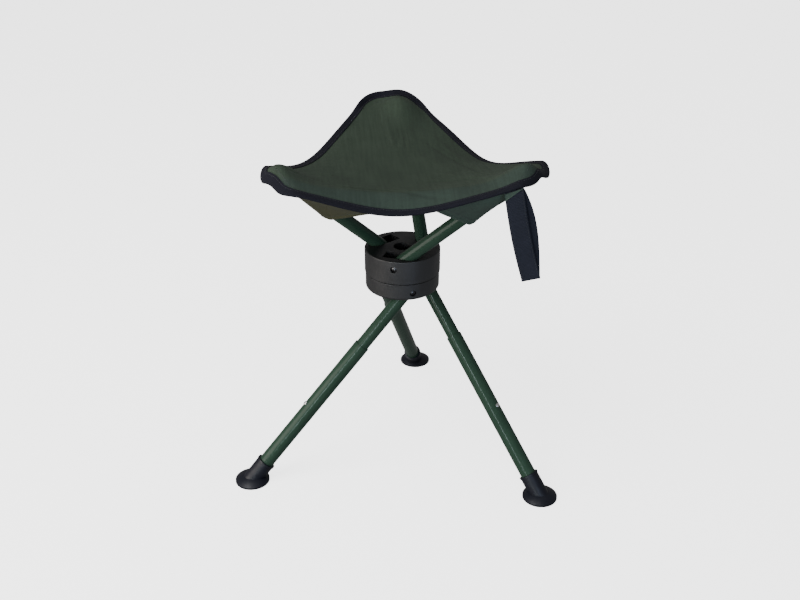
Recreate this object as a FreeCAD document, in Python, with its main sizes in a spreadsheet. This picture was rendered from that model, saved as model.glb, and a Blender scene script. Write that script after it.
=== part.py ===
import FreeCAD, Part
import math
import os
import Sketcher

# A tripod stool: a three-cornered cloth seat on three folding arms, over a round
# two-part hub that swivels, on three folding telescopic legs with rubber feet.
# Z is up, the swivel axis is X = Y = 0, and the floor is Z = 0.
# Lengths are in millimetres and angles in degrees.

SIZES = {
    # Hub
    "hub_floor_gap": 270.3,
    "hub_lower_radius": 52.5,
    "hub_lower_height": 24.6,
    "hub_lower_rounding": 4.5,
    "hub_upper_radius": 53.5,
    "hub_upper_height": 34.7,
    "hub_upper_rounding": 1.6,
    "hub_edge_rounding": 0.8,
    "glide_radius": 47.0,
    "glide_thickness": 1.0,
    "recess_radius": 12.5,
    "head_recess_depth": 11.7,
    "nut_recess_depth": 22.6,
    # Slots in the hub
    "slot_width": 20.0,
    "arm_slot_rear_gap": 10.5,
    "leg_slot_rear_gap": 5.5,
    "slot_gap": 0.5,
    "channel_gap": 0.3,
    # Swivel bolt, nut and washers
    "bolt_radius": 5.0,
    "bolt_head_radius": 9.2,
    "bolt_head_height": 6.4,
    "bolt_end_rounding": 0.8,
    "nut_radius": 9.8,
    "nut_height": 9.5,
    "bolt_beyond_nut": 2.6,
    "washer_radius": 11.4,
    "washer_thickness": 1.2,
    "running_gap": 0.05,
    # Screws through the roots of arms and legs
    "screw_radius": 2.5,
    "screw_head_radius": 4.1,
    "screw_head_edge": 1.0,
    "screw_head_height": 2.4,
    "screw_recess_radius": 4.6,
    "screw_recess_depth": 3.2,
    "screw_core_depth": 8.0,
    "cross_length": 4.2,
    "cross_width": 0.9,
    "cross_depth": 1.3,
    # Tubes
    "tube_radius": 9.5,
    "tube_wall": 1.2,
    "outer_tube_radius": 11.0,
    "outer_tube_gap": 0.3,
    # Arms, each beside the swivel axis
    "seat_turn": 24.36,
    "arm_offset": 32.16,
    "arm_pivot_reach": 5.2,
    "arm_pivot_rise": 22.3,
    "arm_tilt": 47.8,
    "arm_length": 233.0,
    "cap_plug_length": 14.0,
    "cap_height": 3.0,
    # Legs
    "first_leg_turn": -30.0,
    "leg_offset": 34.04,
    "leg_pivot_rise": 11.0,
    "leg_tilt": 40.63,
    "leg_inner_length": 247.0,
    "leg_outer_start": 107.0,
    "button_station": 225.0,
    # Snap buttons and their strip springs
    "button_radius": 3.0,
    "button_proud": 2.5,
    "button_dome": 1.1,
    "button_flange_radius": 4.2,
    "button_flange_thickness": 1.1,
    "button_flange_gap": 0.3,
    "spring_width": 6.0,
    "spring_thickness": 0.5,
    "spring_reach": 30.0,
    "spring_flat": 5.0,
    "spring_bend_width": 3.0,
    # Feet
    "foot_radius": 24.8,
    "foot_edge": 3.0,
    "foot_dome": 10.5,
    "foot_set_back": 2.4,
    "foot_sleeve_radius": 13.1,
    "foot_sleeve_length": 37.7,
    "foot_lip_radius": 13.9,
    "foot_lip_length": 2.6,
    "foot_socket_floor": 25.7,
    # Seat cloth: a bowl over a triangle whose corners are cut off
    "corner_turn": 5.62,
    "bowl_radius": 212.0,
    "seat_height": 485.0,
    "seat_sag": 40.0,
    "outline_rounding": 42.0,
    "cloth_thickness": 2.4,
    # Corners: their ends bend up or down with a twist, and a ridge is over each arm's tip
    "right_reach": 197.45,
    "right_end_start": 177.0,
    "right_end_rise": -16.0,
    "right_end_twist": 0.0,
    "right_ridge_height": 486.3,
    "back_reach": 208.0,
    "back_end_start": 160.0,
    "back_end_rise": 9.95,
    "back_end_twist": 1.15,
    "back_ridge_height": 487.05,
    "left_reach": 200.9,
    "left_end_start": 177.0,
    "left_end_rise": -17.8,
    "left_end_twist": 11.3,
    "left_ridge_height": 486.05,
    # Edges, whose flaps droop most near their middles
    "rear_right_inradius": 138.0,
    "rear_right_flap_width": 92.0,
    "rear_right_drop": 8.0,
    "rear_right_middle_drop": 21.5,
    "rear_right_middle_place": -14.2,
    "rear_right_middle_spread": 74.7,
    "rear_left_inradius": 136.2,
    "rear_left_flap_width": 92.0,
    "rear_left_drop": 1.1,
    "rear_left_middle_drop": 16.7,
    "rear_left_middle_place": 24.8,
    "rear_left_middle_spread": 85.0,
    "front_inradius": 133.0,
    "front_flap_width": 34.0,
    "front_drop": 10.3,
    "front_middle_drop": 16.3,
    "front_middle_place": -18.5,
    "front_middle_spread": 90.0,
    # Shape of each ridge
    "ridge_station": 176.0,
    "ridge_length": 30.0,
    "ridge_breadth": 24.0,
    # Tape sewn round the seat's edge
    "tape_width": 9.5,
    "tape_cover": 1.1,
    # Pockets under the corners
    "pocket_thickness": 1.2,
    "pocket_hem_station": 110.0,
    "pocket_end_inset": 8.9,
    "pocket_gap": 0.5,
    "pocket_hem_slack": 5.5,
    "pocket_seam_inset": 6.0,
    # Carry strap under the right corner
    "strap_width": 25.0,
    "strap_length": 128.0,
    "strap_layer": 1.5,
    "strap_spacing": 1.0,
    "strap_slant": 13.0,
    "strap_corner_turn": 15.5,
    "strap_inset": 2.8,
    "strap_edge_gap": 1.0,
    # Tools for cuts, and the bulge under which an arc is a line
    "overrun": 2.0,
    "flat_limit": 0.0024,
}

# Power by which a flap of the cloth droops against the way out along it
FLAP_POWER_SHARE = 1.5
# Names of the seat's corners and of the edges that follow them, in the arms' order
CORNERS = ("right", "back", "left")
EDGES = ("rear_right", "rear_left", "front")
# Counts of the sections and arcs that follow the cloth
SLAB_ROWS = 24
SLAB_SPANS = 16
POCKET_ROWS = 8

doc = FreeCAD.newDocument("tripod_stool")
sheet = doc.addObject("Spreadsheet::Sheet", "sizes")
for row, (name, number) in enumerate(SIZES.items(), start=1):
    sheet.set("A%d" % row, name)
    sheet.set("B%d" % row, str(number))
    sheet.setAlias("B%d" % row, name)
doc.recompute()


def size(formula):
    """Number that a formula of the sheet's names gives."""
    return float(sheet.evalExpression(formula))


def vector(x, y, z):
    return FreeCAD.Vector(x, y, z)


UP = vector(0, 0, 1)
SIDE = vector(0, 1, 0)
HUB_LOWER_TOP = "(hub_floor_gap + hub_lower_height)"
HUB_UPPER_BASE = "(hub_floor_gap + hub_lower_height + glide_thickness)"
ARM_PIVOT_HEIGHT = "(hub_floor_gap + hub_lower_height + glide_thickness + arm_pivot_rise)"
LEG_PIVOT_HEIGHT = "(hub_floor_gap + leg_pivot_rise)"
LEG_REACH = "((hub_floor_gap + leg_pivot_rise) / cos(leg_tilt * 1deg))"
ARM_TURN = size("first_leg_turn + seat_turn")
LEG_TURN = size("first_leg_turn")
COPIES = 3
STEP_TURN = 360 / COPIES
nodes = []


def node(item, label):
    """Names a finished sub-part."""
    item.Label = label
    nodes.append(item)


def turned(angle):
    return FreeCAD.Placement(vector(0, 0, 0), FreeCAD.Rotation(UP, angle))


def raised(formula):
    return FreeCAD.Placement(vector(0, 0, size(formula)), FreeCAD.Rotation())


def arm_frame(index):
    """Frame at an arm's pivot: Z along the open arm, Y along the pivot screw."""
    pivot = vector(size("arm_pivot_reach"), -size("arm_offset"), size(ARM_PIVOT_HEIGHT))
    tilt = FreeCAD.Rotation(SIDE, size("arm_tilt"))
    return turned(ARM_TURN + index * STEP_TURN) * FreeCAD.Placement(pivot, tilt)


def leg_frame(index):
    """Frame at a leg's pivot: Z down along the open leg, -X towards the snap button."""
    pivot = vector(0, size("leg_offset"), size(LEG_PIVOT_HEIGHT))
    tilt = FreeCAD.Rotation(SIDE, 180 - size("leg_tilt"))
    return turned(LEG_TURN + index * STEP_TURN) * FreeCAD.Placement(pivot, tilt)


# Sketches and features

def bind(item, **formulas):
    """Ties an object's sizes to formulas of the sheet's names."""
    for field, formula in formulas.items():
        item.setExpression(field.replace("_", "."), sheet_formula(formula))
    return item


def sheet_formula(formula):
    """The formula with each name of the sheet written as the sheet's own cell."""
    words = []
    word = ""
    for letter in formula + " ":
        if letter.isalnum() or letter == "_":
            word += letter
            continue
        words.append("sizes." + word if word in SIZES else word)
        words.append(letter)
        word = ""
    return "".join(words).strip()


def new_body(name):
    return doc.addObject("PartDesign::Body", name)


def plane_sketch(body, name, role, offset=None):
    """Sketch on one of the body's own planes, or on one beside it."""
    flat = body.newObject("Sketcher::SketchObject", name)
    plane = [item for item in body.Origin.OriginFeatures if item.Role == role][0]
    flat.AttachmentSupport = [(plane, "")]
    flat.MapMode = "FlatFace"
    if offset:
        flat.setExpression("AttachmentOffset.Base.z", sheet_formula(offset))
    return flat


def fix_corner(flat, index, corner):
    """Ties the start of one edge to the sketch's origin by two distances."""
    across, up = corner
    x = flat.addConstraint(Sketcher.Constraint("DistanceX", -1, 1, index, 1, size(across)))
    flat.setExpression("Constraints[%d]" % x, sheet_formula(across))
    y = flat.addConstraint(Sketcher.Constraint("DistanceY", -1, 1, index, 1, size(up)))
    flat.setExpression("Constraints[%d]" % y, sheet_formula(up))


def closed_outline(flat, corners, dome=None):
    """Outline of straight sides. With a dome, an arc rises from the last corner to the
    sketch's upright axis, at the dome's height, and a line comes down the axis."""
    points = [vector(size(across), size(up), 0) for across, up in corners]
    if dome:
        crown = size(dome)
        rise = crown - points[-1].y
        radius = (points[-1].x ** 2 + rise ** 2) / (2 * rise)
        centre = vector(0, crown - radius, 0)
        start_angle = math.atan2(points[-1].y - centre.y, points[-1].x)
    last = len(points) - 1
    for index in range(last):
        flat.addGeometry(Part.LineSegment(points[index], points[index + 1]))
    if dome:
        circle = Part.Circle(centre, vector(0, 0, 1), radius)
        flat.addGeometry(Part.ArcOfCircle(circle, start_angle, math.pi / 2))
        flat.addGeometry(Part.LineSegment(vector(0, crown, 0), points[0]))
    else:
        flat.addGeometry(Part.LineSegment(points[last], points[0]))
    count = flat.GeometryCount
    for index in range(count):
        after = (index + 1) % count
        flat.addConstraint(Sketcher.Constraint("Coincident", index, 2, after, 1))
    for index, corner in enumerate(corners):
        fix_corner(flat, index, corner)
    if dome:
        fix_corner(flat, count - 1, ("0", dome))
        flat.addConstraint(Sketcher.Constraint("PointOnObject", last, 3, -2))


def turn(body, name, corners, dome=None):
    """Solid of revolution about Z, from an outline of radii and heights."""
    flat = plane_sketch(body, name + "_outline", "XZ_Plane")
    closed_outline(flat, corners, dome)
    solid = body.newObject("PartDesign::Revolution", name)
    solid.Profile = flat
    solid.ReferenceAxis = (flat, ["V_Axis"])
    solid.Angle = 360
    flat.Visibility = False
    return solid


def round_edges(body, name, radius, chosen):
    """Rounds the edges of the body that a test picks."""
    doc.recompute()
    before = body.Tip
    edges = before.Shape.Edges
    names = ["Edge%d" % (number + 1) for number, edge in enumerate(edges) if chosen(edge)]
    rounding = body.newObject("PartDesign::Fillet", name)
    rounding.Base = (before, names)
    rounding.setExpression("Radius", sheet_formula(radius))
    return rounding


def rim_at(radius, height):
    """Test for a whole circle of one radius at one height."""
    def chosen(edge):
        curve = edge.Curve
        if not isinstance(curve, Part.Circle):
            return False
        close = size("overrun") / 100
        same_radius = abs(curve.Radius - size(radius)) < close
        return same_radius and abs(curve.Center.z - size(height)) < close
    return chosen


def repeat_round(body, cut_feature):
    """Repeats a cut about Z, once for each arm or leg."""
    doc.recompute()
    pattern = body.newObject("PartDesign::PolarPattern", cut_feature.Name + "_pattern")
    pattern.Originals = [cut_feature]
    axis = [item for item in body.Origin.OriginFeatures if item.Role == "Z_Axis"][0]
    pattern.Axis = (axis, [""])
    pattern.Angle = 360
    pattern.Occurrences = COPIES
    body.Tip = pattern


def cut_cylinder(body, name, radius, height, place):
    """Cylinder taken out of the body, from a place of the body's frame."""
    tool = body.newObject("PartDesign::SubtractiveCylinder", name)
    bind(tool, Radius=radius, Height=height)
    tool.Placement = place
    return tool


def cut_slot(body, name, corners, side):
    """Slots of the slot width, cut by a side outline at a distance from the middle."""
    flat = plane_sketch(body, name + "_outline", "XZ_Plane", side)
    closed_outline(flat, corners)
    slot = body.newObject("PartDesign::Pocket", name)
    slot.Profile = flat
    slot.SideType = "Symmetric"
    slot.setExpression("Length", sheet_formula("slot_width"))
    flat.Visibility = False
    repeat_round(body, slot)


# Part primitives

def cylinder(name, radius, height, base="0"):
    """Cylinder along Z that starts at a height."""
    solid = doc.addObject("Part::Cylinder", name)
    bind(solid, Radius=radius, Height=height, Placement_Base_z=base)
    return solid


def cross_cylinder(name, radius, length, along):
    """Cylinder along Y, centred, at a height on the Z axis."""
    solid = doc.addObject("Part::Cylinder", name)
    bind(solid, Radius=radius, Height=length)
    middle = vector(0, size(length) / 2, size(along))
    solid.Placement = FreeCAD.Placement(middle, FreeCAD.Rotation(vector(1, 0, 0), 90))
    return solid


def cut(name, base, tool):
    result = doc.addObject("Part::Cut", name)
    result.Base = base
    result.Tool = tool
    return result


def fuse(name, base, tool):
    result = doc.addObject("Part::Fuse", name)
    result.Base = base
    result.Tool = tool
    return result


def common(name, base, tool):
    result = doc.addObject("Part::Common", name)
    result.Base = base
    result.Tool = tool
    return result


def compound(name, items):
    result = doc.addObject("Part::Compound", name)
    result.Links = items
    return result


# Hub

def make_lower_hub():
    """Lower half: leg slots open downward, and a recess for the bolt's head."""
    body = new_body("lower_hub")
    bore = "bolt_radius + running_gap"
    turn(body, "lower_hub_disc", [
        (bore, "head_recess_depth"),
        ("recess_radius", "head_recess_depth"),
        ("recess_radius", "0"),
        ("hub_lower_radius", "0"),
        ("hub_lower_radius", "hub_lower_height"),
        (bore, "hub_lower_height"),
    ])
    round_edges(body, "lower_hub_rounding", "hub_lower_rounding", rim_at("hub_lower_radius", "0"))
    round_edges(body, "lower_hub_seam", "hub_edge_rounding",
                rim_at("hub_lower_radius", "hub_lower_height"))
    roof = "leg_pivot_rise + tube_radius + slot_gap"
    front = "tube_radius + slot_gap"
    rear = "-(tube_radius + leg_slot_rear_gap)"
    below = "-overrun"
    cut_slot(body, "leg_slot", [
        (rear, below), (front, below), (front, roof), (rear, roof),
    ], "-leg_offset")
    pivot = vector(0, size("leg_offset"), size("leg_pivot_rise"))
    lean = FreeCAD.Rotation(SIDE, 180 - size("leg_tilt"))
    repeat_round(body, cut_cylinder(body, "leg_channel", "tube_radius + channel_gap",
                                    "hub_lower_radius", FreeCAD.Placement(pivot, lean)))
    cut_screw_holes(body, "leg_screw", "0", "leg_pivot_rise", "hub_lower_radius", "leg_offset", 1)
    body.Placement = raised("hub_floor_gap") * turned(LEG_TURN)
    node(body, "lower_hub")


def make_upper_hub():
    """Upper half: arm slots open upward, and a deep recess for the nut."""
    body = new_body("upper_hub")
    bore = "bolt_radius + running_gap"
    floor = "hub_upper_height - nut_recess_depth"
    turn(body, "upper_hub_disc", [
        (bore, "0"),
        ("hub_upper_radius", "0"),
        ("hub_upper_radius", "hub_upper_height"),
        ("recess_radius", "hub_upper_height"),
        ("recess_radius", floor),
        (bore, floor),
    ])
    round_edges(body, "upper_hub_rounding", "hub_upper_rounding",
                rim_at("hub_upper_radius", "hub_upper_height"))
    round_edges(body, "upper_hub_seam", "hub_edge_rounding", rim_at("hub_upper_radius", "0"))
    slot_floor = "arm_pivot_rise - tube_radius - slot_gap"
    rear = "arm_pivot_reach - tube_radius - arm_slot_rear_gap"
    front = "arm_pivot_reach + tube_radius + slot_gap"
    ramp = "arm_pivot_rise + (tube_radius + slot_gap) / tan(arm_tilt * 1deg)"
    above = "hub_upper_height + overrun"
    mouth = "arm_pivot_reach + (hub_upper_height + overrun - arm_pivot_rise) * tan(arm_tilt * 1deg)"
    cut_slot(body, "arm_slot", [
        (rear, slot_floor), (front, slot_floor), (front, ramp), (mouth, above), (rear, above),
    ], "arm_offset")
    pivot = vector(size("arm_pivot_reach"), -size("arm_offset"), size("arm_pivot_rise"))
    lean = FreeCAD.Rotation(SIDE, size("arm_tilt"))
    repeat_round(body, cut_cylinder(body, "arm_channel", "tube_radius + channel_gap",
                                    "hub_upper_radius", FreeCAD.Placement(pivot, lean)))
    cut_screw_holes(body, "arm_screw", "arm_pivot_reach", "arm_pivot_rise",
                    "hub_upper_radius", "arm_offset", -1)
    body.Placement = raised(HUB_UPPER_BASE) * turned(ARM_TURN)
    node(body, "upper_hub")


def screw_seat(hub_radius, reach):
    """Formula of the distance, from the middle, at which a screw's head seats."""
    return "sqrt(%s ^ 2 - (%s) ^ 2) - screw_recess_depth" % (hub_radius, reach)


def screw_end(offset):
    """Formula of the distance, from the middle, at which a screw's shank ends."""
    return "%s - slot_width / 2 - screw_core_depth" % offset


def cut_screw_holes(body, name, reach, rise, hub_radius, offset, side):
    """Recesses and holes, from the rim inward, for the pivot screws."""
    inward = FreeCAD.Rotation(vector(1, 0, 0), 90 * side)
    outside = "%s + overrun" % hub_radius
    start = FreeCAD.Placement(vector(size(reach), side * size(outside), size(rise)), inward)
    repeat_round(body, cut_cylinder(body, name + "_hole", "screw_radius + running_gap",
                                    "%s - (%s)" % (outside, screw_end(offset)), start))
    repeat_round(body, cut_cylinder(body, name + "_recess", "screw_recess_radius",
                                    "%s - (%s)" % (outside, screw_seat(hub_radius, reach)), start))


def make_pivot_screws(label, reach, height, hub_radius, offset, side, first_turn):
    """Three pan-head screws with cross recesses, one through each root."""
    screws = []
    for index in range(COPIES):
        body = new_body("%s_%d" % (label, index + 1))
        shank = "%s - (%s)" % (screw_seat(hub_radius, reach), screw_end(offset))
        turn(body, "%s_%d_turned" % (label, index + 1), [
            ("0", "-(%s)" % shank),
            ("screw_radius", "-(%s)" % shank),
            ("screw_radius", "0"),
            ("screw_head_radius", "0"),
            ("screw_head_radius", "screw_head_edge"),
        ], "screw_head_height")
        for way in range(2):
            bar = body.newObject("PartDesign::SubtractiveBox", "%s_%d_cross_%d" % (label, index + 1, way + 1))
            bind(bar, Length="cross_length", Width="cross_width", Height="cross_depth + overrun")
            corner = vector(-size("cross_length") / 2, -size("cross_width") / 2,
                            size("screw_head_height") - size("cross_depth"))
            bar.Placement = turned(90 * way) * FreeCAD.Placement(corner, FreeCAD.Rotation())
        seat = size(screw_seat(hub_radius, reach))
        place = vector(size(reach), side * seat, size(height))
        outward = FreeCAD.Rotation(vector(1, 0, 0), -90 * side)
        body.Placement = turned(first_turn + index * STEP_TURN) * FreeCAD.Placement(place, outward)
        screws.append(body)
    node(compound(label, screws), label)


def make_swivel_bolt():
    """Hexagon-headed bolt up through both halves."""
    grip = "(hub_lower_height - head_recess_depth + glide_thickness + hub_upper_height - nut_recess_depth)"
    end = grip + " + washer_thickness + nut_height + bolt_beyond_nut"
    body = new_body("swivel_bolt")
    turn(body, "bolt_turned", [
        ("0", "-washer_thickness"),
        ("bolt_radius", "-washer_thickness"),
        ("bolt_radius", end),
        ("0", end),
    ])
    round_edges(body, "bolt_end", "bolt_end_rounding", rim_at("bolt_radius", end))
    head = body.newObject("PartDesign::AdditivePrism", "bolt_head")
    bind(head, Circumradius="bolt_head_radius", Height="bolt_head_height")
    head.Polygon = 6
    head.Placement = raised("-(washer_thickness + bolt_head_height)")
    body.Placement = raised("hub_floor_gap + head_recess_depth")
    node(body, "swivel_bolt")


def make_ring(label, radius, bore, height, base):
    """Washer or disc with a bore, round the swivel axis."""
    disc = cylinder(label + "_disc", radius, height)
    hole = cylinder(label + "_bore", bore, height + " + 2 * overrun", "-overrun")
    ring = cut(label, disc, hole)
    ring.Placement = raised(base)
    node(ring, label)


def make_swivel_nut():
    """Hexagon nut on the bolt's upper end."""
    prism = doc.addObject("Part::Prism", "nut_prism")
    prism.Polygon = 6
    bind(prism, Circumradius="nut_radius", Height="nut_height")
    hole = cylinder("nut_bore", "bolt_radius + running_gap", "nut_height + 2 * overrun", "-overrun")
    nut = cut("swivel_nut", prism, hole)
    nut.Placement = raised(HUB_UPPER_BASE + " + hub_upper_height - nut_recess_depth + washer_thickness")
    node(nut, "swivel_nut")


# Tubes

def rooted_tube(name, length):
    """Tube along Z whose root is rounded about its pivot hole."""
    outer = cylinder(name + "_outer", "tube_radius", length + " + tube_radius", "-tube_radius")
    bore = cylinder(name + "_bore", "tube_radius - tube_wall",
                    length + " + tube_radius + 2 * overrun", "-tube_radius - overrun")
    wall = cut(name + "_wall", outer, bore)
    reach = doc.addObject("Part::Box", name + "_reach")
    bind(reach, Length="2 * tube_radius", Width="2 * tube_radius", Height=length,
         Placement_Base_x="-tube_radius", Placement_Base_y="-tube_radius")
    root = cross_cylinder(name + "_root", "tube_radius", "2 * tube_radius", "0")
    kept = common(name + "_kept", wall, fuse(name + "_limits", reach, root))
    hole = cross_cylinder(name + "_hole", "screw_radius + running_gap", "2 * tube_radius + overrun", "0")
    return cut(name, kept, hole)


def make_arms():
    """Arm tubes and the rounded plugs in their tips."""
    for index in range(COPIES):
        label = "arm_tube_%d" % (index + 1)
        tube = rooted_tube(label, "arm_length")
        tube.Placement = arm_frame(index)
        node(tube, label)
    for index in range(COPIES):
        label = "arm_cap_%d" % (index + 1)
        body = new_body(label)
        plug = "tube_radius - tube_wall - running_gap"
        turn(body, label + "_turned", [
            ("0", "-cap_plug_length"),
            (plug, "-cap_plug_length"),
            (plug, "0"),
            ("tube_radius", "0"),
        ], "cap_height")
        body.Placement = arm_frame(index) * raised("arm_length")
        node(body, label)


def button_hole(name, along):
    """Drill for a snap button, from the axis out through the wall on the -X side."""
    drill = doc.addObject("Part::Cylinder", name)
    bind(drill, Radius="button_radius + running_gap", Height="outer_tube_radius + overrun",
         Placement_Base_z=along)
    drill.Placement = FreeCAD.Placement(vector(0, 0, size(along)), FreeCAD.Rotation(SIDE, -90))
    bind(drill, Placement_Base_z=along)
    return drill


def make_leg_tubes():
    """Inner tubes on the hub's pivots, and outer tubes that slide over them."""
    for index in range(COPIES):
        label = "leg_inner_tube_%d" % (index + 1)
        tube = rooted_tube(label + "_plain", "leg_inner_length")
        drilled = cut(label, tube, button_hole(label + "_drill", "button_station"))
        drilled.Placement = leg_frame(index)
        node(drilled, label)
    for index in range(COPIES):
        label = "leg_outer_tube_%d" % (index + 1)
        end = LEG_REACH + " - foot_socket_floor"
        outer = cylinder(label + "_outer", "outer_tube_radius", end + " - leg_outer_start", "leg_outer_start")
        bore = cylinder(label + "_bore", "tube_radius + outer_tube_gap",
                        end + " - leg_outer_start + 2 * overrun", "leg_outer_start - overrun")
        wall = cut(label + "_wall", outer, bore)
        drilled = cut(label, wall, button_hole(label + "_drill", "button_station"))
        drilled.Placement = leg_frame(index)
        node(drilled, label)


def make_buttons():
    """Snap buttons: a domed pin with a flange that stays inside the inner tube."""
    top = "sqrt((tube_radius - tube_wall) ^ 2 - button_flange_radius ^ 2) - button_flange_gap"
    tip = "outer_tube_radius + button_proud"
    for index in range(COPIES):
        label = "leg_button_%d" % (index + 1)
        body = new_body(label)
        turn(body, label + "_turned", [
            ("0", "(%s) - button_flange_thickness" % top),
            ("button_flange_radius", "(%s) - button_flange_thickness" % top),
            ("button_flange_radius", top),
            ("button_radius", top),
            ("button_radius", "%s - button_dome" % tip),
        ], tip)
        station = FreeCAD.Placement(vector(0, 0, size("button_station")), FreeCAD.Rotation(SIDE, -90))
        body.Placement = leg_frame(index) * station
        node(body, label)


def make_springs():
    """Bent strip in each inner tube: one end under the button, one on the far wall."""
    top = ("(sqrt((tube_radius - tube_wall) ^ 2 - button_flange_radius ^ 2)"
           " - button_flange_gap - button_flange_thickness - running_gap)")
    low = "(sqrt((tube_radius - tube_wall) ^ 2 - (spring_width / 2) ^ 2) - running_gap)"
    inner_top = top + " - spring_thickness"
    inner_low = low + " - spring_thickness"
    inner_reach = "spring_reach - spring_thickness"
    inner_bend = "(spring_bend_width - spring_thickness)"
    for index in range(COPIES):
        label = "leg_spring_%d" % (index + 1)
        body = new_body(label)
        flat = plane_sketch(body, label + "_outline", "XZ_Plane")
        closed_outline(flat, [
            ("-%s" % top, "-spring_flat"),
            ("-%s" % top, "spring_flat"),
            ("-spring_bend_width", "spring_reach"),
            ("spring_bend_width", "spring_reach"),
            (low, "spring_flat"),
            (low, "-spring_flat"),
            (inner_low, "-spring_flat"),
            (inner_low, "spring_flat"),
            (inner_bend, inner_reach),
            ("-%s" % inner_bend, inner_reach),
            ("-(%s)" % inner_top, "spring_flat"),
            ("-(%s)" % inner_top, "-spring_flat"),
        ])
        strip = body.newObject("PartDesign::Pad", label + "_strip")
        strip.Profile = flat
        strip.SideType = "Symmetric"
        strip.setExpression("Length", sheet_formula("spring_width"))
        flat.Visibility = False
        body.Placement = leg_frame(index) * raised("button_station")
        node(body, label)


# Feet

def make_feet():
    """Rubber feet: a low dome with a sleeve that leans with the leg."""
    for index in range(COPIES):
        label = "foot_%d" % (index + 1)
        body = new_body(label)
        turn(body, label + "_dome", [
            ("0", "0"),
            ("foot_radius", "0"),
            ("foot_radius", "foot_edge"),
        ], "foot_dome")
        lean = FreeCAD.Placement(vector(size("foot_set_back"), 0, 0),
                                 FreeCAD.Rotation(SIDE, -size("leg_tilt")))
        sleeve = body.newObject("PartDesign::AdditiveCylinder", label + "_sleeve")
        bind(sleeve, Radius="foot_sleeve_radius", Height="foot_sleeve_length + foot_sleeve_radius")
        sleeve.Placement = lean * raised("-foot_sleeve_radius")
        lip = body.newObject("PartDesign::AdditiveCylinder", label + "_lip")
        bind(lip, Radius="foot_lip_radius", Height="foot_lip_length")
        lip.Placement = lean * raised("foot_sleeve_length - foot_lip_length")
        cut_cylinder(body, label + "_socket", "outer_tube_radius + running_gap",
                     "foot_sleeve_length - foot_socket_floor + overrun",
                     lean * raised("foot_socket_floor"))
        floor = body.newObject("PartDesign::SubtractiveBox", label + "_floor")
        bind(floor, Length="4 * foot_radius", Width="4 * foot_radius", Height="foot_radius")
        corner = vector(-2 * size("foot_radius"), -2 * size("foot_radius"), -size("foot_radius"))
        floor.Placement = FreeCAD.Placement(corner, FreeCAD.Rotation())
        reach = size(LEG_REACH + " * sin(leg_tilt * 1deg) - foot_set_back")
        middle = FreeCAD.Placement(vector(reach, size("leg_offset"), 0), FreeCAD.Rotation())
        body.Placement = turned(LEG_TURN + index * STEP_TURN) * middle
        node(body, label)


# Seat cloth

def plan_direction(angle):
    turn_angle = math.radians(angle)
    return vector(math.cos(turn_angle), math.sin(turn_angle), 0)


def corner_angle(index):
    return ARM_TURN + index * STEP_TURN - size("corner_turn")


def edge_angle(index):
    return corner_angle(index) + STEP_TURN / 2


def corner_size(index, name):
    return size("%s_%s" % (CORNERS[index % COPIES], name))


def edge_size(index, name):
    return size("%s_%s" % (EDGES[index % COPIES], name))


def beside_arm(index, station):
    """Point of the plan on an arm's axis."""
    arm = plan_direction(ARM_TURN + index * STEP_TURN)
    return arm * station - UP.cross(arm) * size("arm_offset")


def open_height(point):
    """Height of the cloth's upper face without its ridges: a bowl, with a flap that
    droops along each edge, and corners whose ends bend."""
    height = size("seat_height") - size("seat_sag") * (1 - (point.Length / size("bowl_radius")) ** 2)
    for index in range(COPIES):
        outward = plan_direction(edge_angle(index))
        aside = UP.cross(outward).dot(point) - edge_size(index, "middle_place")
        along = aside / edge_size(index, "middle_spread")
        beyond = outward.dot(point) - edge_size(index, "inradius")
        way = beyond / edge_size(index, "flap_width") + 1
        drop = edge_size(index, "drop") + edge_size(index, "middle_drop") * math.exp(-along ** 2)
        height -= drop * max(way, 0) ** FLAP_POWER_SHARE
        outward = plan_direction(corner_angle(index))
        twist = math.tan(math.radians(corner_size(index, "end_twist")))
        start = corner_size(index, "end_start")
        way = (outward.dot(point) - start) / (corner_size(index, "reach") - start)
        rise = corner_size(index, "end_rise") + twist * UP.cross(outward).dot(point)
        height += rise * max(way, 0) ** 2
    return height


def ridge_rise(index):
    return corner_size(index, "ridge_height") - open_height(beside_arm(index, size("ridge_station")))


RIDGE_RISES = [ridge_rise(index) for index in range(COPIES)]


def cloth_height(point):
    """Height of the cloth's upper face, with the ridges over the arms' tips."""
    height = open_height(point)
    for index in range(COPIES):
        arm = plan_direction(ARM_TURN + index * STEP_TURN)
        top = beside_arm(index, size("ridge_station"))
        forward = arm.dot(point - top) / size("ridge_length")
        aside = UP.cross(arm).dot(point - top) / size("ridge_breadth")
        height += RIDGE_RISES[index] * math.exp(-forward ** 2 - aside ** 2)
    return height


def span(start, middle, end):
    """Arc through three points, or a line where they are in line."""
    bulge = (middle - start).cross(end - start).Length / (end - start).Length
    if bulge < size("flat_limit"):
        return Part.makeLine(start, end)
    return Part.Arc(start, middle, end).toShape()


def cloth_slab(rise, depth):
    """Solid between two faces that follow the cloth, lofted over the whole seat."""
    first = plan_direction(corner_angle(0))
    across = UP.cross(first)
    near = -size("rear_left_inradius") - size("outline_rounding") / 2
    half = size("bowl_radius")
    sections = []
    for row in range(SLAB_ROWS + 1):
        line = first * (near + (half - near) * row / SLAB_ROWS)
        upper = []
        for place in range(2 * SLAB_SPANS + 1):
            point = line + across * (half * (place / SLAB_SPANS - 1))
            upper.append(point + UP * (cloth_height(point) + rise))
        lower = [point - UP * depth for point in reversed(upper)]
        edges = [span(*upper[place:place + 3]) for place in range(0, 2 * SLAB_SPANS, 2)]
        edges.append(Part.makeLine(upper[-1], lower[0]))
        edges += [span(*lower[place:place + 3]) for place in range(0, 2 * SLAB_SPANS, 2)]
        edges.append(Part.makeLine(lower[-1], upper[0]))
        sections.append(Part.Wire(edges))
    return Part.makeLoft(sections, True, False)


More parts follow.
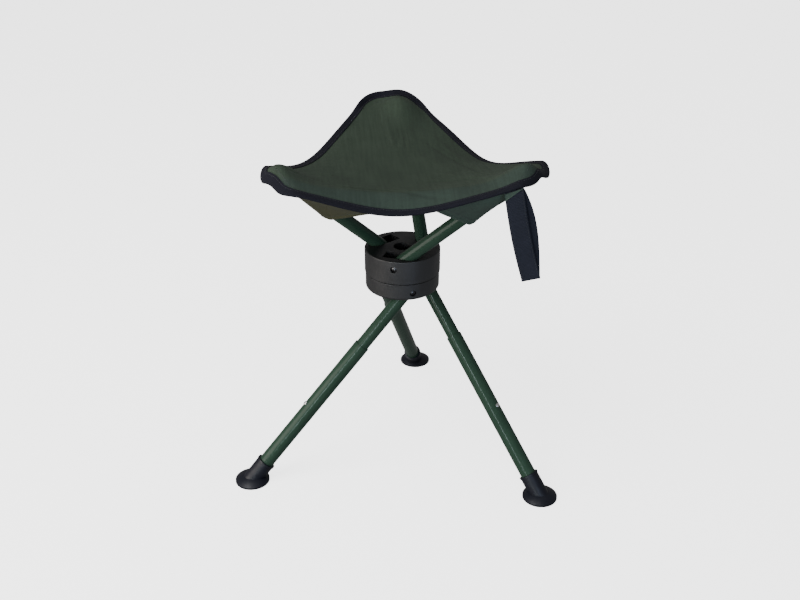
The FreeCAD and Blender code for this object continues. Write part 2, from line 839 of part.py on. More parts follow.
def crossing(line, other):
    """Point of the plan where two lines cross, each given by its normal and distance."""
    (normal, distance), (next_normal, next_distance) = line, other
    along = UP.cross(normal)
    return normal * distance + along * ((next_distance - normal.dot(next_normal) * distance)
                                        / along.dot(next_normal))


def plan_outline(inset):
    """Closed wire of the seat's outline in the plan, drawn in by an inset."""
    lines = []
    for index in range(COPIES):
        lines.append((plan_direction(corner_angle(index)), corner_size(index, "reach") - inset))
        lines.append((plan_direction(edge_angle(index)), edge_size(index, "inradius") - inset))
    rounding = size("outline_rounding") - inset
    bends = []
    for number, line in enumerate(lines):
        normal = line[0]
        next_normal = lines[(number + 1) % len(lines)][0]
        corner = crossing(line, lines[(number + 1) % len(lines)])
        middle = (normal + next_normal).normalize()
        centre = corner - middle * (rounding / middle.dot(normal))
        bends.append((centre + normal * rounding, centre + middle * rounding,
                      centre + next_normal * rounding))
    edges = []
    for number, (start, middle, end) in enumerate(bends):
        edges.append(Part.makeLine(bends[number - 1][2], start))
        edges.append(Part.Arc(start, middle, end).toShape())
    return Part.Wire(edges)


def plan_prism(inset):
    """Upright prism of the seat's outline, drawn in by an inset."""
    return Part.Face(plan_outline(inset)).extrude(UP * 2 * size("seat_height"))


def feature(label, shape, place):
    item = doc.addObject("Part::Feature", label)
    item.Shape = shape
    item.Placement = place
    node(item, label)


def make_seat():
    """Cloth panel, and the tape folded over its edge."""
    depth = size("cloth_thickness")
    cover = size("tape_cover")
    panel = cloth_slab(0, depth).common(plan_prism(0))
    feature("seat_panel", panel.Solids[0], turned(0))
    ring = plan_prism(-cover).cut(plan_prism(size("tape_width")))
    tape = cloth_slab(cover, depth + 2 * cover).common(ring).cut(panel)
    feature("seat_binding", tape.Solids[0], turned(0))


def pocket_section(index, station):
    """Closed section of a corner's pocket across its arm: a vee, round under the tube."""
    across = UP.cross(plan_direction(ARM_TURN + index * STEP_TURN))
    foot = beside_arm(index, station)
    cross_line = Part.makeLine(foot - across * size("bowl_radius"), foot + across * size("bowl_radius"))
    seams = Part.Face(plan_outline(size("pocket_seam_inset"))).common(cross_line)
    ways = sorted(across.dot(seam.Point - foot) for seam in seams.Vertexes)
    below = size("cloth_thickness + tape_cover + pocket_gap")
    ends = [(way, cloth_height(foot + across * way) - below) for way in ways]
    thickness = size("pocket_thickness")
    tip = size("arm_pivot_reach + arm_length * sin(arm_tilt * 1deg)")
    girth = size("(tube_radius + pocket_gap) / sin(arm_tilt * 1deg)")
    run = min(station, tip) - size("arm_pivot_reach")
    bottom = size(ARM_PIVOT_HEIGHT) + run / math.tan(math.radians(size("arm_tilt"))) - girth
    past = max(station - tip, 0) / (pocket_end(index) - tip)
    hem_share = max(tip - station, 0) / (tip - size("pocket_hem_station"))
    closed = min(height for way, height in ends) - size("pocket_gap") - thickness
    bottom += (closed - bottom) * past ** 2 - size("pocket_hem_slack") * hem_share
    half = size("tube_radius") * (1 - past / 2)
    inner = vee(ends, bottom, half)
    points = [foot + across * way + UP * height for way, height in inner]
    under = [point - UP * thickness for point in reversed(points)]
    edges = []
    for chain in (points, under):
        edges.append(Part.makeLine(chain[0], chain[1]))
        edges.append(Part.Arc(chain[1], chain[2], chain[3]).toShape())
        edges.append(Part.makeLine(chain[3], chain[4]))
        edges.append(Part.makeLine(chain[4], under[0] if chain is points else points[0]))
    return Part.Wire(edges)


def vee(ends, bottom, half):
    """Five points of a vee: its ends, and an arc of a width at its bottom."""
    shoulder = bottom + half / 2
    return [ends[0], (-half, shoulder), (0, bottom), (half, shoulder), ends[1]]


def pocket_end(index):
    return corner_size(index, "reach") - size("pocket_end_inset")


def make_pockets():
    """Cloth pocket under each corner, open towards the hub, round the arm's tip."""
    hem = size("pocket_hem_station")
    for index in range(COPIES):
        step = (pocket_end(index) - hem) / POCKET_ROWS
        sections = [pocket_section(index, hem + step * row) for row in range(POCKET_ROWS + 1)]
        feature("corner_pocket_%d" % (index + 1), Part.makeLoft(sections, True, False), turned(0))


# Carry strap

def make_strap():
    """Webbing doubled to a flat loop, which hangs from the edge near the right corner."""
    thick = "(2 * strap_layer + strap_spacing)"
    outer = doc.addObject("Part::Box", "strap_outer")
    bind(outer, Length="strap_width", Width=thick, Height="strap_length")
    bend = doc.addObject("Part::Cylinder", "strap_bend")
    bind(bend, Radius=thick + " / 2", Height="strap_width")
    bend.Placement = FreeCAD.Placement(vector(0, size(thick) / 2, 0), FreeCAD.Rotation(SIDE, 90))
    inner = doc.addObject("Part::Box", "strap_inner")
    bind(inner, Length="strap_width + 2 * overrun", Width="strap_spacing", Height="strap_length + overrun")
    inner.Placement = FreeCAD.Placement(vector(-size("overrun"), size("strap_layer"), 0), FreeCAD.Rotation())
    inner_bend = doc.addObject("Part::Cylinder", "strap_inner_bend")
    bind(inner_bend, Radius="strap_spacing / 2", Height="strap_width + 2 * overrun")
    inner_bend.Placement = FreeCAD.Placement(vector(-size("overrun"), size(thick) / 2, 0),
                                             FreeCAD.Rotation(SIDE, 90))
    loop = cut("carry_strap", fuse("strap_solid", outer, bend),
               fuse("strap_space", inner, inner_bend))
    middle = vector(-size("strap_width") / 2, -size(thick) / 2, -size("strap_length"))
    lean = FreeCAD.Placement(vector(0, 0, 0), FreeCAD.Rotation(SIDE, -size("strap_slant")))
    front = EDGES.index("front")
    along = UP.cross(plan_direction(edge_angle(front)))
    reach = size("front_inradius - strap_inset")
    aside = reach * math.tan(math.radians(STEP_TURN / 2 - size("strap_corner_turn")))
    root = plan_direction(edge_angle(front)) * reach + along * aside
    slope = math.tan(math.radians(size("strap_slant")))
    half = size("strap_width") / 2
    free = min(cloth_height(root + along * way) - way * slope for way in (-half, 0, half))
    height = free - size("cloth_thickness + tape_cover + strap_edge_gap")
    quarter = FreeCAD.Rotation(vector(1, 0, 0), along)
    place = FreeCAD.Placement(root + UP * height, quarter)
    loop.Placement = place * lean * FreeCAD.Placement(middle, FreeCAD.Rotation())
    node(loop, "carry_strap")


make_lower_hub()
make_upper_hub()
make_pivot_screws("leg_pivot_screws", "0", LEG_PIVOT_HEIGHT, "hub_lower_radius", "leg_offset", 1, LEG_TURN)
make_pivot_screws("arm_pivot_screws", "arm_pivot_reach", ARM_PIVOT_HEIGHT, "hub_upper_radius",
                  "arm_offset", -1, ARM_TURN)
make_swivel_bolt()
make_swivel_nut()
make_ring("glide_washer", "glide_radius", "bolt_radius + running_gap", "glide_thickness", HUB_LOWER_TOP)
make_ring("head_washer", "washer_radius", "bolt_radius + running_gap", "washer_thickness",
          "hub_floor_gap + head_recess_depth - washer_thickness")
make_ring("nut_washer", "washer_radius", "bolt_radius + running_gap", "washer_thickness",
          HUB_UPPER_BASE + " + hub_upper_height - nut_recess_depth")
make_arms()
make_leg_tubes()
make_buttons()
make_springs()
make_feet()
make_seat()
make_pockets()
make_strap()

doc.recompute()
for item in doc.Objects:
    if "Invalid" in item.State or "Error" in item.State:
        raise RuntimeError("%s failed: %s" % (item.Label, item.State))
os.makedirs("parts", exist_ok=True)
for item in nodes:
    shape = item.Shape
    if shape.isNull() or not shape.isValid():
        raise RuntimeError("%s has no valid shape" % item.Label)
    print("%s: %d solids, %.1f mm3" % (item.Label, len(shape.Solids), shape.Volume))
    shape.exportStep("parts/%s.step" % item.Label)
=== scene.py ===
import math

import bpy
import numpy as np
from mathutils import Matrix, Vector


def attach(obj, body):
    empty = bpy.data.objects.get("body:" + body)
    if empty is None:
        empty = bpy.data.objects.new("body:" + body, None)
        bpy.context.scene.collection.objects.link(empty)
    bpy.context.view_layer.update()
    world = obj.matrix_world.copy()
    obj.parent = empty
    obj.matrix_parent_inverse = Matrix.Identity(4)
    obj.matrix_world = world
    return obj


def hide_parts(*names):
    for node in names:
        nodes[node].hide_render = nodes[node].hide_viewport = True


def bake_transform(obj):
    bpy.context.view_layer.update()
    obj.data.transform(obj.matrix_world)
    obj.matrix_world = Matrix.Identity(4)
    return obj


# Swivel tripod stool: the CAD's frame, dressed with cloth, tape, a strap and finishes

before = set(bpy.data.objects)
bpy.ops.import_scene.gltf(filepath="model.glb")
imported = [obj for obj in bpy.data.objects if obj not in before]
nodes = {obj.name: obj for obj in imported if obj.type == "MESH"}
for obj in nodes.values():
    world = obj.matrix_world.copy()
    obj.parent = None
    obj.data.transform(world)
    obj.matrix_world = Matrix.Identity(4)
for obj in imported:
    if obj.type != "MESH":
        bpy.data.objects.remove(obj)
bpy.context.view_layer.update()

# Seat's plan and heights, in metres and degrees
ARM_TURN = -5.64
CORNER_TURN = -11.26
STEP = 120
HALF_STEP = STEP // 2
BOWL = 0.212
SEAT_HEIGHT = 0.485
SAG = 0.040
ROUNDING = 0.042
# Corners right, back and left: reach, start of the bent end, its rise and twist, the ridge's height
CORNERS = [
    (0.19745, 0.177, -0.0160, 0.0, 0.48630),
    (0.20800, 0.160, 0.00995, 0.02, 0.48705),
    (0.20090, 0.177, -0.0178, 0.2, 0.48605),
]
# Edges rear right, rear left and front: distance, breadth and drop of the turned-down strip, then the
# middle's further drop, its place along the edge and its spread
EDGES = [
    (0.1380, 0.092, 0.0080, 0.0215, -0.0142, 0.0747),
    (0.1362, 0.092, 0.0011, 0.0167, 0.0248, 0.0850),
    (0.1330, 0.034, 0.0103, 0.0163, -0.0185, 0.0900),
]
EDGE_POWER = 1.5
CORNER_POWER = 2
# Ridge over each arm's tip: place along the arm's line, half length, half breadth, and the line's offset
RIDGE_STATION = 0.176
RIDGE_LENGTH = 0.030
RIDGE_BREADTH = 0.024
ARM_OFFSET = 0.03216
# Dip just inside the back corner's edge: depth, gaps from the edge where it fades in and out, reach
CURL = 0.0050
CURL_EDGE = 0.005
CURL_BAND = (0.006, 0.028)
CURL_REACH = (0.172, 0.192)
# Faint ripple over the cloth: height, radians per metre and starts in radians
RIPPLE = 0.00035
RIPPLE_TURNS = (83, 71)
RIPPLE_STARTS = (1.3, 0.4)
# Cloth's thickness and steps of the mesh
CLOTH = 0.0012
SIDE_STEPS = 126
ROWS = 62
# A distance beyond any on the seat
FAR = 9.0

# Arms, for the pockets round their tips
ARM_TILT = 47.8
ARM_PIVOT_REACH = 0.0052
ARM_PIVOT_HEIGHT = 0.3182
ARM_LENGTH = 0.233
TUBE_RADIUS = 0.0095

# Creases in the cloth: points in plan in millimetres, depth and half width in millimetres
CREASES = [
    ([(-100, -112), (-82, -109), (-54, -114), (-18, -105), (19, -97), (53, -99), (78, -98), (103, -96)],
     0.9, 3.2),
    ([(36, -52), (67, -43), (100, -40), (125, -39)], 0.7, 4.0),
    ([(96, -43), (102, -64), (108, -87)], 0.4, 3.0),
    ([(-1, 112), (35, 81), (80, 34), (125, -33)], 0.9, 5.0),
    ([(11, 128), (47, 93), (92, 43)], -0.7, 4.0),
    ([(-25, 119), (-18, 95), (-8, 60)], 0.5, 2.6),
    ([(-45, 99), (-36, 75)], 0.35, 2.6),
    ([(-31, 98), (-24, 72)], 0.35, 2.4),
    ([(-121, -130), (-104, -122)], 0.6, 3.0),
    ([(94, -9), (125, -39)], 0.5, 3.0),
    ([(-150, -120), (-90, -70), (-40, -35)], 0.5, 6.0),
    ([(150, -60), (95, -25), (40, -5)], -0.5, 6.0),
    ([(-70, 160), (-50, 120), (-25, 60)], -0.5, 5.0),
]
# Multiple of all the depths, share of it left at a crease's ends, and share of the length to fade there
CREASE_DEPTH = 1.5
CREASE_END = 0.15
CREASE_TAPER = 0.3


def direction(angle):
    """Plan direction at an azimuth in degrees."""
    return np.array([math.cos(math.radians(angle)), math.sin(math.radians(angle))])


def left_of(way):
    return np.array([-way[1], way[0]])


def corner_turn(index):
    return CORNER_TURN + index * STEP


def smooth(value):
    value = np.clip(value, 0, 1)
    return value * value * (3 - 2 * value)


def ramp(value, start, end):
    """Smooth share of the way from a start to an end."""
    return smooth((value - start) / (end - start))


def lengths_along(path):
    """Length from a path's first point to each of its points."""
    return np.concatenate([[0], np.cumsum(np.linalg.norm(np.diff(path, axis=0), axis=1))])


def crease(points, line, depth, width):
    """Height that one crease takes from the cloth."""
    line = np.array(line) / 1000
    starts = lengths_along(line)
    nearest = np.full(len(points), FAR)
    place = np.zeros(len(points))
    for index, length in enumerate(np.diff(starts)):
        way = (line[index + 1] - line[index]) / length
        along = np.clip((points - line[index]) @ way, 0, length)
        gap = np.linalg.norm(points - line[index] - along[:, None] * way, axis=1)
        place = np.where(gap < nearest, starts[index] + along, place)
        nearest = np.minimum(gap, nearest)
    taper = smooth(np.minimum(place, starts[-1] - place) / (CREASE_TAPER * starts[-1]))
    fade = CREASE_END + (1 - CREASE_END) * taper
    return depth * CREASE_DEPTH / 1000 * fade * np.exp(-(nearest / (width / 1000)) ** 2)


def open_height(points):
    """Height of the cloth's upper face without its ridges and creases."""
    height = SEAT_HEIGHT - SAG * (1 - np.sum(points ** 2, axis=1) / BOWL ** 2)
    for index in range(3):
        out = direction(corner_turn(index) + HALF_STEP)
        inradius, width, drop, middle_drop, middle, spread = EDGES[index]
        turned = np.maximum((points @ out - inradius) / width + 1, 0)
        aside = (points @ left_of(out) - middle) / spread
        height = height - (drop + middle_drop * np.exp(-aside ** 2)) * turned ** EDGE_POWER
        out = direction(corner_turn(index))
        reach, start, rise, twist, top = CORNERS[index]
        bent = np.maximum((points @ out - start) / (reach - start), 0)
        height = height + (rise + twist * (points @ left_of(out))) * bent ** CORNER_POWER
    return height


def beside_arm(index, station):
    """Plan point on an arm's line."""
    arm = direction(ARM_TURN + index * STEP)
    return arm * station - left_of(arm) * ARM_OFFSET


def bend_centres():
    """Centres of the outline's six bends: each corner's end face has one before it and one after it."""
    lines = []
    for index in range(3):
        lines.append((corner_turn(index), CORNERS[index][0]))
        lines.append((corner_turn(index) + HALF_STEP, EDGES[index][0]))
    centres = []
    for number, (turn, distance) in enumerate(lines):
        near = distance - ROUNDING
        far = lines[(number + 1) % 6][1] - ROUNDING
        out = direction(turn)
        aside = (far - near * math.cos(math.pi / 3)) / math.sin(math.pi / 3)
        centres.append(out * near + left_of(out) * aside)
    return centres


BENDS = bend_centres()


def rim_gap(points):
    """Distances of plan points inwards of the outline, up to the bends' radius."""
    nearest = np.full(len(points), FAR)
    inside = np.full(len(points), True)
    for start, end in zip(BENDS[-1:] + BENDS, BENDS):
        length = np.linalg.norm(end - start)
        way = (end - start) / length
        inside &= (points - start) @ left_of(way) > 0
        along = np.clip((points - start) @ way, 0, length)
        nearest = np.minimum(nearest, np.linalg.norm(points - start - along[:, None] * way, axis=1))
    return ROUNDING - np.where(inside, 0, nearest)


def cloth_height(points, creased=True):
    """Height of the cloth's upper face at plan points."""
    height = open_height(points)
    for index in range(3):
        arm = direction(ARM_TURN + index * STEP)
        top = beside_arm(index, RIDGE_STATION)
        rise = CORNERS[index][4] - open_height(top[None])[0]
        along = (points - top) @ arm / RIDGE_LENGTH
        aside = (points - top) @ left_of(arm) / RIDGE_BREADTH
        height = height + rise * np.exp(-along ** 2 - aside ** 2)
    gaps = rim_gap(points)
    reach = points @ direction(corner_turn(1))
    curl = ramp(gaps, CURL_BAND[1], CURL_BAND[0]) * ramp(gaps, 0, CURL_EDGE) * ramp(reach, *CURL_REACH)
    height = height - CURL * curl
    if creased:
        for line, depth, width in CREASES:
            height = height - crease(points, line, depth, width)
        ripple = np.sin(points * RIPPLE_TURNS + RIPPLE_STARTS)
        height = height + RIPPLE * ripple[:, 0] * ripple[:, 1]
    return height


def cloth_normals(points):
    """Unit normals of the cloth's upper face at plan points."""
    step = 0.0004
    slope_x = (cloth_height(points + [step, 0]) - cloth_height(points - [step, 0])) / (2 * step)
    slope_y = (cloth_height(points + [0, step]) - cloth_height(points - [0, step])) / (2 * step)
    normals = np.stack([-slope_x, -slope_y, np.ones(len(points))], 1)
    return normals / np.linalg.norm(normals, axis=1)[:, None]


def outline():
    """Plan points round the seat and the inward directions there; each corner's run starts and
    ends at the feet of its two edges."""
    places, inwards = [], []
    for index in range(3):
        turn = corner_turn(index)
        before, after = BENDS[2 * index - 1], BENDS[2 * index]
        knots = [
            (direction(turn - HALF_STEP) * EDGES[index - 1][0], turn - HALF_STEP, None),
            (before + direction(turn - HALF_STEP) * ROUNDING, turn - HALF_STEP, before),
            (before + direction(turn) * ROUNDING, turn, None),
            (after + direction(turn) * ROUNDING, turn, after),
            (after + direction(turn + HALF_STEP) * ROUNDING, turn + HALF_STEP, None),
            (direction(turn + HALF_STEP) * EDGES[index][0], turn + HALF_STEP, None),
        ]
        runs = [ROUNDING * math.pi / 3 if centre is not None else np.linalg.norm(knots[number + 1][0] - place)
                for number, (place, angle, centre) in enumerate(knots[:-1])]
        stops = np.concatenate([[0], np.cumsum(runs)])
        for step in range(SIDE_STEPS):
            way = stops[-1] * step / SIDE_STEPS
            number = int(np.searchsorted(stops, way, side="right")) - 1
            share = (way - stops[number]) / runs[number]
            place, angle, centre = knots[number]
            angle += HALF_STEP * share if centre is not None else 0
            out = direction(angle)
            places.append(centre + out * ROUNDING if centre is not None
                          else place + (knots[number + 1][0] - place) * share)
            inwards.append(-out)
    return np.array(places), np.array(inwards)


def mesh_piece(name, points, faces, material, uvs=None, normals=None):
    """A smooth mesh object with a UV map in metres and its own normals."""
    mesh = bpy.data.meshes.new(name)
    mesh.from_pydata([tuple(p) for p in points], [], [tuple(int(i) for i in f) for f in faces])
    if uvs is not None:
        layer = mesh.uv_layers.new(name="UVMap")
        corners = np.zeros(len(mesh.loops), int)
        mesh.loops.foreach_get("vertex_index", corners)
        layer.data.foreach_set("uv", np.asarray(uvs)[corners].astype(np.float32).ravel())
    mesh.polygons.foreach_set("use_smooth", [True] * len(mesh.polygons))
    if normals is not None:
        mesh.normals_split_custom_set_from_vertices([tuple(n) for n in normals])
    mesh.update()
    piece = bpy.data.objects.new(name, mesh)
    bpy.context.scene.collection.objects.link(piece)
    mesh.materials.append(material)
    return piece


def grid_faces(rows, columns, around=False, flip=False, base=0):
    """Quads between rows of points; with around, each row closes on itself."""
    faces = []
    for row in range(rows - 1):
        for column in range(columns if around else columns - 1):
            after = (column + 1) % columns
            face = [row * columns + column, row * columns + after,
                    (row + 1) * columns + after, (row + 1) * columns + column]
            faces.append([base + i for i in (reversed(face) if flip else face)])
    return faces


def grid_border(rows, columns):
    """Indices round the outside of a grid of points."""
    border = list(range(columns)) + [row * columns + columns - 1 for row in range(1, rows)]
    border += [(rows - 1) * columns + column for column in range(columns - 2, -1, -1)]
    return border + [row * columns for row in range(rows - 2, 0, -1)]


def side_faces(border, size, flip=False):
    """Quads between a border and the same border, size points later."""
    faces = []
    for first, second in zip(border, border[1:] + border[:1]):
        face = [first, first + size, second + size, second]
        faces.append(face[::-1] if flip else face)
    return faces


def surface_normals(grid):
    """Normals of a grid of points by central differences; its last index runs round each row."""
    along = np.gradient(grid, axis=0)
    round_it = (np.roll(grid, -1, axis=1) - np.roll(grid, 1, axis=1)) / 2
    normals = np.cross(round_it, along)
    return normals / np.maximum(np.linalg.norm(normals, axis=2), 1e-12)[:, :, None]


def sweep(name, rings, material, lengths, girths, normals=None):
    """Capped tube through rings of points, with u along it and v round it."""
    rings = np.asarray(rings)
    rows, columns = rings.shape[:2]
    faces = grid_faces(rows, columns, around=True)
    faces.append(list(range(columns))[::-1])
    faces.append([(rows - 1) * columns + i for i in range(columns)])
    uvs = np.stack(np.broadcast_arrays(lengths[:, None], girths[None, :]), -1).reshape(-1, 2)
    flat = None if normals is None else np.asarray(normals).reshape(-1, 3)
    return mesh_piece(name, rings.reshape(-1, 3), faces, material, uvs, flat)


# Stitches: the rows' pitch, then a thread's length and radius, in metres
TAPE_STITCH = (0.0034, 0.0025, 0.00028)
END_STITCH = (0.0034, 0.0026, 0.00028)
HEM_STITCH = (0.0036, 0.0027, 0.00028)
STRAP_STITCH = (0.0036, 0.0027, 0.00026)
# A thread's sections: place in half lengths, width and height over the surface in radii
THREAD_SECTIONS = [(-1.0, 0.25, -0.9), (-0.8, 0.75, 0.0), (-0.35, 1.0, 0.55),
                   (0.35, 1.0, 0.55), (0.8, 0.75, 0.0), (1.0, 0.25, -0.9)]
THREAD_SIDES = 6
THREAD_SQUASH = 0.8
LOOK_AHEAD = 0.0005


def at_length(length, lengths, values):
    """Value of a path's points or normals at one length along it."""
    return np.array([np.interp(length, lengths, values[:, axis]) for axis in range(3)])


def stitches(name, path, normals, sizes, material, skip=0.0):
    """A row of short threads lying along a path on a surface, whose ends dive into it."""
    pitch, length, radius = sizes
    lengths = lengths_along(path)
    count = int((lengths[-1] - 2 * skip) / pitch)
    spots = skip + (np.arange(count) + 0.5) * (lengths[-1] - 2 * skip) / count
    points, faces = [], []
    for spot in spots:
        base = len(points)
        for share, width, height in THREAD_SECTIONS:
            at = spot + share * length / 2
            centre = at_length(at, lengths, path)
            way = at_length(at + LOOK_AHEAD, lengths, path) - at_length(at - LOOK_AHEAD, lengths, path)
            way /= np.linalg.norm(way)
            up = at_length(at, lengths, normals)
            up -= way * (up @ way)
            up /= np.linalg.norm(up)
            aside = np.cross(way, up)
            for side in range(THREAD_SIDES):
                angle = 2 * math.pi * side / THREAD_SIDES
                points.append(centre + up * radius * (height + THREAD_SQUASH * width * math.sin(angle))
                              + aside * radius * width * math.cos(angle))
        last = len(points) - THREAD_SIDES
        faces += grid_faces(len(THREAD_SECTIONS), THREAD_SIDES, around=True, base=base)
        faces.append([base + i for i in range(THREAD_SIDES)][::-1])
        faces.append([last + i for i in range(THREAD_SIDES)])
    return mesh_piece(name, points, faces, material)


# Materials


class Finish:
    """A node material, with short ways to add its nodes."""

    def __init__(self, name, colour, **values):
        self.material = bpy.data.materials.new(name)
        self.material.use_nodes = True
        self.tree = self.material.node_tree
        self.shader = self.tree.nodes["Principled BSDF"]
        self.colour = colour
        self.set("Base Color", (*colour, 1))
        for key, value in values.items():
            self.set(key.replace("_", " ").title().replace("Ior", "IOR"), value)

    def set(self, name, value):
        self.shader.inputs[name].default_value = value

    def add(self, kind, values=None, **settings):
        made = self.tree.nodes.new("ShaderNode" + kind)
        for key, value in settings.items():
            setattr(made, key, value)
        for key, value in (values or {}).items():
            if isinstance(value, bpy.types.NodeSocket):
                self.tree.links.new(value, made.inputs[key])
            else:
                made.inputs[key].default_value = value
        return made

    def link(self, socket, name):
        self.tree.links.new(socket, self.shader.inputs[name])

    def maths(self, kind, first, second=0.0):
        return self.add("Math", {0: first, 1: second}, operation=kind).outputs[0]

    def place(self, scale=(1, 1, 1), uv=False):
        """Place on the object, or on the UV map, in metres."""
        source = self.add("TexCoord").outputs["UV" if uv else "Object"]
        return self.add("Mapping", {"Vector": source, "Scale": scale}).outputs[0]

    def noise(self, place, scale, detail=3.0, roughness=0.55):
        made = self.add("TexNoise", {"Vector": place, "Scale": scale,
                                     "Detail": detail, "Roughness": roughness})
        return made.outputs["Fac"]

    def spread(self, value, low, high, to_low, to_high):
        """Value taken from one range to another and held within it."""
        made = self.add("MapRange", {"Value": value, "From Min": low, "From Max": high,
                                     "To Min": to_low, "To Max": to_high})
        return made.outputs[0]

    def wave(self, value, pitch):
        """Sine of a length in metres, once per pitch, from 0 to 1."""
        turns = self.maths("MULTIPLY", value, 2 * math.pi / pitch)
        return self.spread(self.maths("SINE", turns), -1, 1, 0, 1)

    def tint(self, fac, light, dark):
        """Colour between two multiples of the finish's colour."""
        low = tuple(min(c * dark[i], 1) for i, c in enumerate(self.colour))
        high = tuple(min(c * light[i], 1) for i, c in enumerate(self.colour))
        made = self.add("Mix", data_type="RGBA")
        self.tree.links.new(fac, made.inputs[0])
        made.inputs[6].default_value = (*low, 1)
        made.inputs[7].default_value = (*high, 1)
        return made.outputs[2]

    def bump(self, height, distance, strength=1.0, below=None):
        values = {"Height": height, "Distance": distance, "Strength": strength}
        if below is not None:
            values["Normal"] = below
        return self.add("Bump", values).outputs[0]


def tone(red, green, blue):
    """Linear colour of an sRGB one given from 0 to 255."""
    out = []
    for value in (red, green, blue):
        share = value / 255
        out.append(share / 12.92 if share <= 0.04045 else ((share + 0.055) / 1.055) ** 2.4)
    return tuple(out)


def tube_paint():
    made = Finish("tube_paint", tone(44, 65, 52), specular_ior_level=0.06,
                  coat_weight=0.20, coat_roughness=0.09)
    place = made.place()
    cloud = made.noise(place, 28, 4)
    speck = made.noise(place, 900, 2)
    made.link(made.tint(cloud, (1.25, 1.2, 1.2), (0.8, 0.82, 0.82)), "Base Color")
    scuff = made.noise(made.place((1, 1, 0.25)), 160, 5, 0.7)
    made.link(made.spread(scuff, 0.58, 0.75, 0.25, 0.42), "Roughness")
    made.link(made.bump(speck, 0.000015, 0.25), "Normal")
    return made.material


def hub_plastic():
    made = Finish("hub_plastic", tone(26, 26, 28), specular_ior_level=0.75)
    place = made.place()
    grain = made.noise(place, 1900, 3, 0.6)
    cloud = made.noise(place, 45, 4)
    made.link(made.tint(cloud, (1.3, 1.25, 1.2), (0.75, 0.78, 0.8)), "Base Color")
    made.link(made.spread(cloud, 0.3, 0.7, 0.40, 0.54), "Roughness")
    made.link(made.bump(grain, 0.00016, 0.6), "Normal")
    return made.material


def foot_rubber():
    # Black rubber; the blue in its colour is painted bluish sheen
    made = Finish("foot_rubber", tone(18, 20, 29), specular_ior_level=0.35)
    place = made.place()
    cloud = made.noise(place, 60, 4)
    dust = made.spread(made.noise(place, 300, 5, 0.7), 0.55, 0.8, 0, 1)
    fine = made.noise(place, 1500, 3)
    made.link(made.tint(dust, (1.6, 1.6, 1.55), (0.9, 0.9, 0.95)), "Base Color")
    made.link(made.spread(cloud, 0.3, 0.7, 0.36, 0.55), "Roughness")
    made.link(made.bump(fine, 0.0001, 0.4), "Normal")
    return made.material


def cap_plastic():
    made = Finish("cap_plastic", tone(24, 24, 26), roughness=0.38)
    place = made.place()
    grain = made.noise(place, 1200, 2)
    made.link(made.tint(made.noise(place, 80), (1.2, 1.2, 1.2), (0.8, 0.8, 0.8)), "Base Color")
    made.link(made.bump(grain, 0.0001, 0.4), "Normal")
    return made.material


def metal(name, colour, low, high, brushed=(1, 1, 1)):
    made = Finish(name, colour, metallic=1.0)
    brush = made.noise(made.place(brushed), 700, 4, 0.7)
    cloud = made.noise(made.place(), 130, 3)
    made.link(made.tint(cloud, (1.1, 1.1, 1.1), (0.75, 0.75, 0.75)), "Base Color")
    made.link(made.spread(brush, 0.3, 0.7, low, high), "Roughness")
    made.link(made.bump(brush, 0.00003, 0.4), "Normal")
    return made.material


def glide_plastic():
    made = Finish("glide_plastic", tone(205, 203, 196), roughness=0.5)
    place = made.place()
    made.link(made.tint(made.noise(place, 90), (1.05, 1.05, 1.05), (0.85, 0.85, 0.82)), "Base Color")
    made.link(made.bump(made.noise(place, 1500), 0.00008, 0.4), "Normal")
    return made.material


def woven(name, colour, pitch, depth, rib=None, sheen=0.03, streak=0.0, painted_sheen_strip=None):
    """Cloth of crossed threads, whose UV map is in metres; rib is the pitch of a webbing's cross ribs,
    streak is the share of the shade that goes from clouds to long slubs, and the last argument holds two
    lengths along the cloth between which a painted bluish sheen fades in, and the multiple that paints it."""
    made = Finish(name, colour, specular_ior_level=0.12, sheen_weight=sheen, sheen_roughness=0.5)
    split = made.add("SeparateXYZ", {0: made.place(uv=True)})
    u, v = split.outputs[0], split.outputs[1]
    weave = made.maths("MULTIPLY", made.wave(u, pitch), made.wave(v, pitch))
    if rib:
        weave = made.maths("ADD", made.maths("MULTIPLY", weave, 0.35), made.wave(u, rib))
    slub = made.noise(made.place((260, 14, 1), uv=True), 1, 3)
    cloud = made.noise(made.place(), 30, 4)
    fade = made.maths("ADD", made.maths("MULTIPLY", cloud, 0.7 - streak),
                      made.maths("MULTIPLY", slub, 0.3 + streak))
    light = made.maths("ADD", made.maths("MULTIPLY", fade, 0.75), made.maths("MULTIPLY", weave, 0.25))
    shade = made.tint(made.spread(light, 0.25, 0.75, 0, 1), (1.35, 1.35, 1.35), (0.72, 0.72, 0.72))
    # Painted sheen: towards the front the colour is multiplied bluish, for the light that the turned-down
    # strip catches
    if painted_sheen_strip:
        start, end, multiple = painted_sheen_strip
        mixed = made.add("Mix", {0: made.spread(v, start, end, 0, 1), 6: shade, 7: (*multiple, 1)},
                         data_type="RGBA", blend_type="MULTIPLY")
        shade = mixed.outputs[2]
    made.link(shade, "Base Color")
    made.link(made.spread(cloud, 0.3, 0.7, 0.76, 0.9), "Roughness")
    fuzz = made.bump(made.noise(made.place(), 1400, 2), 0.00008, 0.3)
    made.link(made.bump(weave, depth, 0.7, fuzz), "Normal")
    return made.material


def thread(name, colour):
    made = Finish(name, colour, roughness=0.7, sheen_weight=0.2)
    twist = made.noise(made.place(), 3000, 2)
    made.link(made.tint(twist, (1.4, 1.4, 1.4), (0.7, 0.7, 0.7)), "Base Color")
    made.link(made.bump(twist, 0.00006, 0.4), "Normal")
    return made.material


paint = tube_paint()
plastic = hub_plastic()
rubber = foot_rubber()
cap = cap_plastic()
dark_steel = metal("screw_steel", (0.10, 0.10, 0.105), 0.22, 0.4)
bolt_steel = metal("bolt_steel", (0.55, 0.55, 0.56), 0.2, 0.36)
button_steel = metal("button_steel", (0.80, 0.80, 0.80), 0.14, 0.26)
spring_steel = metal("spring_steel", (0.45, 0.46, 0.48), 0.2, 0.34, (1, 1, 0.1))
glide = glide_plastic()
